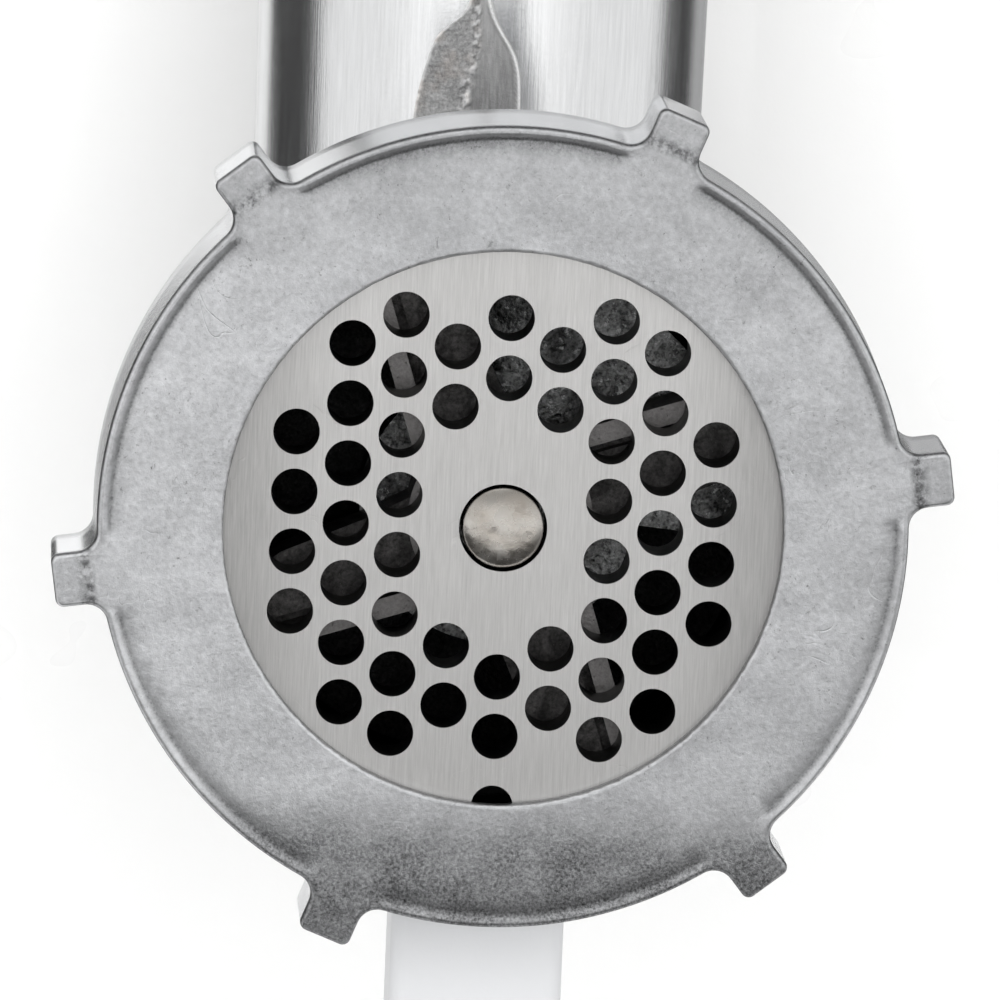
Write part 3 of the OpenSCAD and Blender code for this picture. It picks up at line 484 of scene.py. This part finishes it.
def lug_sector(inset, grow):
    """One sixth of the ring's outline, with its lug in the middle, as points in mm. inset pulls it in;
    grow widens it as the draft does towards the back."""
    r0 = RING_R + grow - inset
    h = LUG_HALF - inset
    tip = LUG_R - inset
    fil = 1.9 + inset * 0.8
    corner = max(0.75 - inset * 0.8, 0.12)
    cy = h + fil
    cx = math.sqrt(max((r0 + fil) ** 2 - cy ** 2, 1.0))
    start = math.degrees(math.atan2(cy, cx))
    pts = []
    for i in range(SPAN):
        a = -30 + (30 - start) * i / SPAN
        pts.append((r0 * math.cos(math.radians(a)), r0 * math.sin(math.radians(a))))
    pts += arc_points(cx, -cy, fil, 180 - start, 90, 10)
    pts += [(cx + (tip - corner - cx) * i / 6, -h) for i in range(1, 6)]
    pts += arc_points(tip - corner, -h + corner, corner, -90, 0, 7)
    pts += [(tip, t * (h - corner)) for t in (-0.6, -0.2, 0.2, 0.6)]
    pts += arc_points(tip - corner, h - corner, corner, 0, 90, 7)
    pts += [(cx + (tip - corner - cx) * i / 6, h) for i in range(5, 0, -1)]
    pts += arc_points(cx, cy, fil, -90, -180 + start, 10)
    for i in range(1, SPAN):
        a = start + (30 - start) * i / SPAN
        pts.append((r0 * math.cos(math.radians(a)), r0 * math.sin(math.radians(a))))
    return pts


SPAN = 60


def outline(inset, grow, y):
    pts = []
    for k in range(6):
        a = math.radians(LUG_ANGLE + 60 * k)
        c, s = math.cos(a), math.sin(a)
        for px, pz in lug_sector(inset, grow):
            pts.append((px * c - pz * s, y, px * s + pz * c))
    return pts


def circle_like(loop, r, y):
    """A circle whose points stand at the same angles as those of another loop."""
    out = []
    for x, _, z in loop:
        a = math.atan2(z, x)
        out.append((r * math.cos(a), y, r * math.sin(a)))
    return out


def off_lug(x, z):
    """0 at the middle of a lug, 1 on the plain rim between lugs."""
    a = (math.degrees(math.atan2(z, x)) - LUG_ANGLE + 30) % 60 - 30
    t = min(1.0, max(0.0, (abs(a) - 4.6) / 2.6))
    return t * t * (3 - 2 * t)


def as_cast(x, z, depth, size, seed):
    return depth * noise.fractal(Vector((x / size, seed, z / size)), 1.0, 2.1, 4)


def ring_nut(mat):
    y1 = RING_DEPTH
    loops, line = [], []

    # shade is painted shade, kept per point in the line attribute
    def add(loop, shade=0.0):
        loops.append(loop)
        line.append([shade] * len(loop) if isinstance(shade, float) else shade)

    back = outline(0.35, y1 * DRAFT, y1)
    add(circle_like(back, 32.2, y1))
    add(circle_like(back, 34.6, y1))
    add(back)
    # painted shade: a dark line along the back edge
    add(outline(0.1, y1 * DRAFT, y1 - 0.12), 0.8)
    add(outline(0.0, y1 * DRAFT, y1 - 0.4), 0.2)
    for y in (0.7 * y1, 0.4 * y1, 1.6):
        add(outline(0.0, y * DRAFT, y))
    # outer edge: a thin dark line of painted shade, then a small bright radius
    for inset, y, shade in ((0.0, 0.85, 0.2), (0.015, 0.60, 1.0), (0.06, 0.36, 0.95), (0.15, 0.18, 0.35),
                            (0.26, 0.08, 0.0), (0.42, 0.06, 0.25)):
        loop = outline(inset, y * DRAFT, y)
        loops.append([(x, y - 0.06 * off_lug(x, z) * (inset > 0.1), z) for x, y, z in loop])
        line.append([shade] * len(loop))
    # raised rim and groove, on the plain stretches between lugs, with painted shade in the groove and, near
    # the top, in a band below the rim
    inner = outline(0.42, 0.0, 0.0)
    rim = ((0.50, 0.0, 0.0, 0.0), (0.62, 0.03, 0.0, 0.1), (0.76, 0.10, 0.05, 0.3),
           (0.90, 0.19, 0.25, 0.6), (1.04, 0.27, 0.55, 0.8), (1.18, 0.32, 0.75, 0.8),
           (1.34, 0.32, 0.5, 0.75), (1.6, 0.27, 0.2, 0.6), (2.0, 0.21, 0.1, 0.4),
           (2.6, 0.15, 0.0, 0.12))
    for inset, y, shade, top_band_shade in rim:
        flat = circle_like(inner, RING_R - inset, 0.0)
        loops.append([(x, 0.12 + (y - 0.12) * off_lug(x, z) + as_cast(x, z, 0.015, 1.1, 2.0), z) for x, _,
                      z in flat])
        line.append([off_lug(x, z) * max(shade, top_band_shade * min(1.0, max(0.0, 2.0 * z / RING_R - 0.9))) for x,
                     _, z in flat])
    for r in (33.4, 32.7, 32.0, 31.2, 30.4, 29.6, 28.8, 28.0, 27.2, 26.5, 25.95, 25.7):
        flat = circle_like(inner, r, 0.0)
        add([(x, 0.12 + as_cast(x, z, 0.05, 5.0, 4.0), z) for x, _, z in flat])
    # ragged edge of the opening, with painted shade on its inner wall
    for r, y, rag, shade in ((25.52, 0.12, 0.03, 0.0), (25.40, 0.19, 0.09, 0.0), (25.32, 0.36, 0.05, 0.5),
                             (OPENING_R, 0.7, 0.0, 0.9), (OPENING_R, 1.48, 0.0, 0.9)):
        ring = circle_like(inner, r, y)
        k = [1 + rag * noise.noise(Vector((x, z, 3.0)) * 1.7) / 25 for x, _, z in ring]
        add([(x * f, y, z * f) for (x, _, z), f in zip(ring, k)], shade)
    # inside: lip, seat and thread
    add(circle_like(inner, 30.4, 1.5))
    add(circle_like(inner, 30.45, 2.7))
    n = 8
    for i in range(n + 1):
        add(circle_like(inner, 31.35 if i % 2 == 0 else 30.5, 2.7 + (10.5 - 2.7) * i / n))
    add(circle_like(inner, 31.1, 10.6))
    add(circle_like(inner, 31.1, y1 - 0.2))
    add(circle_like(inner, 31.4, y1))
    loops = [[(x * MM, FACE_Y + y * MM, AXIS_Z + z * MM) for x, y, z in loop] for loop in loops]
    verts, faces = skin(loops, close=True)
    ob = new_object("ring_nut_cast", verts, faces, mat, "ring")
    # the line attribute carries the painted shade to the ring's material
    attr = ob.data.attributes.new("line", "FLOAT", "POINT")
    attr.data.foreach_set("value", [v for row in line for v in row])
    sharpen(ob, 50)
    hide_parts("ring_nut")
    return ob


# ------------------------------------------------------------------ casting mark on the feed tube
def step(t, middle, width):
    """Rises smoothly from 0 to 1 about the middle."""
    return 0.5 + 0.5 * math.tanh((t - middle) / width)


def mark_edges(z):
    """Angles round the tube, in degrees, of the mark's left outline, its ridge and its line of beads."""
    left = -20.0 + 6.0 * step(z, 35.0, 4.5) + 8.5 * step(z, 39.6, 1.5) + 1.7 * step(z, 45.0, 2.5)
    ridge = 6.8 - 8.6 * step(z, 38.4, 2.6) - 2.0 * step(z, 44.0, 3.0)
    bead = -6.2 + 2.4 * step(z, 35.0, 2.0) - 0.7 * step(z, 41.0, 1.5) + 0.6 * step(z, 46.0, 2.0)
    return left, ridge, bead


def casting_mark(mat):
    """The rough flat on the front of the feed tube where the polishing stopped, with a ridge on its right."""
    rows, cols = 150, 90
    verts, faces, zone, edge_highlight = [], [], [], []
    for j in range(rows + 1):
        z = 27 + 23 * j / rows
        a0, a1, ab = mark_edges(z)
        fade = min(1.0, (50 - z) / 4.0)
        r = 21.4 + (22.4 - 21.4) * z / 92
        w = 0.9 + 0.5 * noise.noise(Vector((z * 0.9, 2.0, 0.0)))
        for i in range(cols + 1):
            u = i / cols
            a = a0 + (a1 + 1.3 - a0) * u
            jag = 0.25 * noise.noise(Vector((z * 1.4, 5.0, 1.0)))
            from_left = (a - a0 - jag) * r * math.pi / 180
            from_bead = (a - ab - jag * 2) * r * math.pi / 180
            from_ridge = (a - a1) * r * math.pi / 180
            lip = math.exp(-((from_left - 0.08) / 0.17) ** 2)
            core = math.exp(-(from_ridge / 0.24) ** 2)
            lump = math.exp(-(from_bead / 0.55) ** 2)
            right = 1 / (1 + math.exp(-(from_bead - 0.35) / 0.12))
            grit = noise.fractal(Vector((a * 0.6, z * 1.6, 3.0)), 0.8, 2.2, 5)
            inside = min(1.0, max(0.0, from_left / 0.3)) * min(1.0, max(0.0, -from_ridge / 0.2))
            h = 0.10 + lip * 0.05
            streak = noise.fractal(Vector((a * 0.12, z * 2.6, 6.0)), 0.8, 2.2, 3)
            h += inside * (1 - right) * (0.07 * grit + 0.07 * streak)
            h += lump * inside * w * (0.32 + 0.30 * grit)
            h += core * (0.20 + 0.07 * math.sin((z * 1.0 + from_ridge * 1.2) * 2 * math.pi / 0.55))
            h -= right * inside * 0.06
            rim = min(1.0, from_left / 0.05 + 1.0) if from_left < 0 else 1.0
            rim *= min(1.0, max(0.0, (a1 + 1.3 - a) / 0.5))
            h = max(-0.25, h * fade * max(rim, 0.0) - (0.22 if rim < 0.1 else 0.0))
            t = math.radians(a)
            verts.append(((r + h) * math.sin(t) * MM, TUBE_Y - (r + h) * math.cos(t) * MM, AXIS_Z + z * MM))
            zone.append(right)
            # painted highlights: bright colour on the lip, on one flank of the ridge and its ripples, and on
            # the beads
            twist = 0.5 + 0.5 * math.sin((z + from_ridge * 1.2) * 2 * math.pi / 0.55 + 1.2)
            bright = math.exp(-((from_ridge - 0.16) / 0.12) ** 2)
            beads = lump * inside * (1 - right) * min(1.0, max(0.0, 0.25 + 1.6 * grit))
            edge_highlight.append(min(1.0, lip * (0.85 + 0.4 * grit) + bright + 0.5 * core * twist + beads))
    n = cols + 1
    for j in range(rows):
        for i in range(cols):
            a = j * n + i
            faces.append((a, a + 1, a + n + 1, a + n))
    ob = new_object("casting_mark", verts, faces, mat, "head")
    for name, values in (("zone", zone), ("edge_highlight", edge_highlight)):
        attr = ob.data.attributes.new(name, "FLOAT", "POINT")
        attr.data.foreach_set("value", values)
    return ob


# ------------------------------------------------------------------ auger pin
def auger_pin(mat):
    """The worn end of the auger's pin, a little domed, in the centre bore of the plate."""
    r, n = 3.7, 96
    loops = []
    dome = [(r, 4.0), (r, 0.30)]
    for k in range(12):
        t = 0.5 * math.pi * (k + 1) / 12.4
        dome.append((r * math.cos(t) ** 0.55, 0.20 - 0.75 * math.sin(t) ** 0.8))
    for rr, y in dome:
        loop = []
        for i in range(n):
            a = 2 * math.pi * i / n
            x, z = rr * math.cos(a), rr * math.sin(a)
            dent = 0.012 * noise.fractal(Vector((x * 0.7, z * 0.7, 9.0)), 1.0, 2.0, 3) if y < -0.2 else 0.0
            loop.append((x * MM, PLATE_LO.y + (y + dent) * MM, AXIS_Z + z * MM))
        loops.append(loop)
    verts, faces = skin(loops)
    k = len(verts) - n
    faces.append(tuple(range(k, k + n)))
    ob = new_object("auger_pin_end", verts, faces, mat, "screw")
    return ob


# ------------------------------------------------------------------ finishing
def assign(node, mat):
    for slot in NODES[node].material_slots:
        slot.material = mat


def finish_cad(mats):
    for node, mat in mats.items():
        assign(node, mat)


def materials():
    white = plastic("white_housing", (0.83, 0.83, 0.825), 0.28, 0.5, 0.010, 0.25, 0.008)
    pusher_white = plastic("white_pusher", (0.80, 0.80, 0.79), 0.34, 0.4, 0.02, 0.0, 0.02)
    pale = plastic("pale_base", (0.53, 0.535, 0.545), 0.36, 0.45, 0.02, 0.0, 0.02)
    grey = plastic("grey_trim", (0.075, 0.08, 0.088), 0.42, 0.3, 0.05, 0.0, 0.1)
    button = plastic("grey_button", (0.12, 0.125, 0.135), 0.38, 0.3, 0.04, 0.0, 0.1)
    black = plastic("black_moulding", (0.02, 0.02, 0.022), 0.48, 0.3, 0.05, 0.0, 0.2)
    red = plastic("red_rocker", (0.50, 0.025, 0.02), 0.25, 0.4, 0.015, 0.4, 0.08)
    nylon = plastic("nylon", (0.70, 0.67, 0.56), 0.4, 0.3, 0.03, 0.0, 0.05)
    carbon = plastic("carbon", (0.02, 0.02, 0.02), 0.55, 0.2, 0.05, 0.0, 0.3)
    die = satin_metal("die_casting", 0.50, 0.45, 0.5, (1, 1, 1), 0.06)
    shaft = satin_metal("ground_shaft", 0.60, 0.24, 0.2, (1, 0.05, 1), 0.01)
    gear = satin_metal("sintered_gear", 0.36, 0.42, 0.25, (1, 1, 1), 0.03)
    zinc = satin_metal("zinc_screw", 0.55, 0.30, 0.3, (1, 1, 1), 0.02, (1.0, 1.0, 1.03))
    bronze = satin_metal("bronze", 0.60, 0.36, 0.25, (1, 1, 1), 0.02, (0.95, 0.66, 0.34))
    head = head_metal()
    return {
        "hole_plate": brushed_plate(), "knife": knife_metal(), "auger": auger_metal(), "barrel": head,
        "feed_tray": tray_metal(), "pusher": pusher_white, "pusher_cap": pusher_white,
        "front_housing": white, "rear_housing": white, "base_plate": pale, "front_leg": pale,
        "feet": rubber("black_rubber", 0.03), "cord_gland": rubber("gland_rubber", 0.025),
        "leg_pad": rubber("grey_rubber", 0.4),
        "release_button": grey, "control_plate": grey, "reverse_button": button, "power_rocker": red,
        "indicator_lamp": lens(), "switch_block": black, "brush_holders": black, "carbon_brushes": carbon,
        "auger_washer": nylon, "compound_gear": nylon, "cooling_fan": nylon,
        "auger_bush": bronze, "output_bush": bronze, "compound_bushes": bronze, "motor_pinion": bronze,
        "head_socket": die, "gearbox_front_plate": die, "gearbox_rear_plate": die, "gearbox_pillars": die,
        "motor_front_bracket": die, "motor_rear_bracket": die,
        "output_shaft": shaft, "output_bearing": shaft, "compound_axle": shaft, "armature_shaft": shaft,
        "motor_bearings": shaft, "output_gear": gear,
        "foot_screws": zinc, "leg_screws": zinc, "base_screws": zinc, "housing_screws": zinc,
        "socket_screws": zinc, "gearbox_screws": zinc, "motor_screws": zinc,
        "stator_core": laminations(), "armature_core": laminations(),
        "field_coils": windings(), "armature_winding": windings(), "commutator": bronze,
    }


# ------------------------------------------------------------------ studio
def floor():
    m = Mat("pale_floor")
    a = m.noise(60.0, detail=3.0)
    m.set(m.mix(a, (0.86, 0.86, 0.86), (0.88, 0.88, 0.88)), 0.7)
    me = bpy.data.meshes.new("floor")
    s = 30.0
    me.from_pydata([(-s, -s, 0), (s, -s, 0), (s, s, 0), (-s, s, 0)], [], [(0, 1, 2, 3)])
    me.materials.append(m.m)
    ob = bpy.data.objects.new("floor", me)
    bpy.context.scene.collection.objects.link(ob)


def dark_card(name, corners, value):
    """A studio flag, seen only in reflections."""
    m = Mat(name + "_cloth")
    m.set(m.mix(m.noise(20.0), (value, value, value), (value * 1.3, value * 1.3, value * 1.3)), 0.9)
    me = bpy.data.meshes.new(name)
    me.from_pydata(corners, [], [(0, 1, 2, 3)])
    me.materials.append(m.m)
    ob = bpy.data.objects.new(name, me)
    bpy.context.scene.collection.objects.link(ob)
    ob.visible_camera = False
    ob.visible_diffuse = False
    ob.visible_shadow = False
    ob.visible_transmission = False


def upright_card(name, near, far, z0, z1, value=0.05):
    dark_card(name, [(*near, z0), (*far, z0), (*far, z1), (*near, z1)], value)


def area(name, where, toward, size, power, size_y=None, glossy=True):
    d = bpy.data.lights.new(name, "AREA")
    d.shape = "RECTANGLE"
    d.size, d.size_y = size, size_y or size
    d.energy = power
    ob = bpy.data.objects.new(name, d)
    bpy.context.scene.collection.objects.link(ob)
    ob.location = where
    ob.rotation_euler = (Vector(where) - Vector(toward)).to_track_quat("Z", "Y").to_euler()
    ob.visible_glossy = glossy
    return ob


def studio():
    world = bpy.data.worlds.new("studio")
    bpy.context.scene.world = world
    world.use_nodes = True
    bg = world.node_tree.nodes["Background"]
    bg.inputs[0].default_value = (1, 1, 1, 1)
    bg.inputs[1].default_value = 1.0
    floor()
    target = (0, -0.05, AXIS_Z)
    area("front", (-0.05, -1.9, 0.42), target, 2.2, 36, size_y=1.4, glossy=False)
    area("top", (-0.2, -0.2, 1.5), target, 1.2, 3)
    head = AXIS_Z
    upright_card("flag_left", (-0.053, -0.0415), (-0.33, -0.066), head - 0.06, head + 0.062, 0.02)
    upright_card("flag_right", (0.060, -0.0415), (0.22, -0.041), head - 0.06, head + 0.062, 0.02)
    upright_card("flag_edge", (0.030, -0.0415), (0.060, -0.0415), head - 0.03, head + 0.062, 0.30)
    dark_card("flag_low", [(-0.5, -0.19, 0.02), (0.5, -0.19, 0.02), (0.5, -0.55, 0.02),
                           (-0.5, -0.55, 0.02)], 0.05)
    bpy.context.scene.view_settings.view_transform = "Standard"
    bpy.context.scene.view_settings.look = "None"


def camera():
    """A long lens a little above the auger axis and to its left, rolled as the photograph is."""
    d = bpy.data.cameras.new("camera")
    d.sensor_width = 36.0
    d.lens = 344.5
    ob = bpy.data.objects.new("camera", d)
    bpy.context.scene.collection.objects.link(ob)
    el, az, roll = math.radians(9.46), math.radians(-3.16), math.radians(2.35)
    target = Vector((-0.47 * MM, FACE_Y, AXIS_Z + 2.79 * MM))
    back = Vector((math.sin(az) * math.cos(el), -math.cos(az) * math.cos(el), math.sin(el)))
    ob.location = target + back * 0.862
    turn = (-back).to_track_quat("-Z", "Y")
    ob.rotation_mode = "QUATERNION"
    ob.rotation_quaternion = turn @ Matrix.Rotation(roll, 4, "Z").to_quaternion()
    d.clip_start, d.clip_end = 0.05, 100.0
    bpy.context.scene.camera = ob


def build():
    camera()
    finish_cad(materials())
    ring_nut(cast_aluminium())
    casting_mark(patch_metal())
    auger_pin(pin_metal())
    studio()


build()
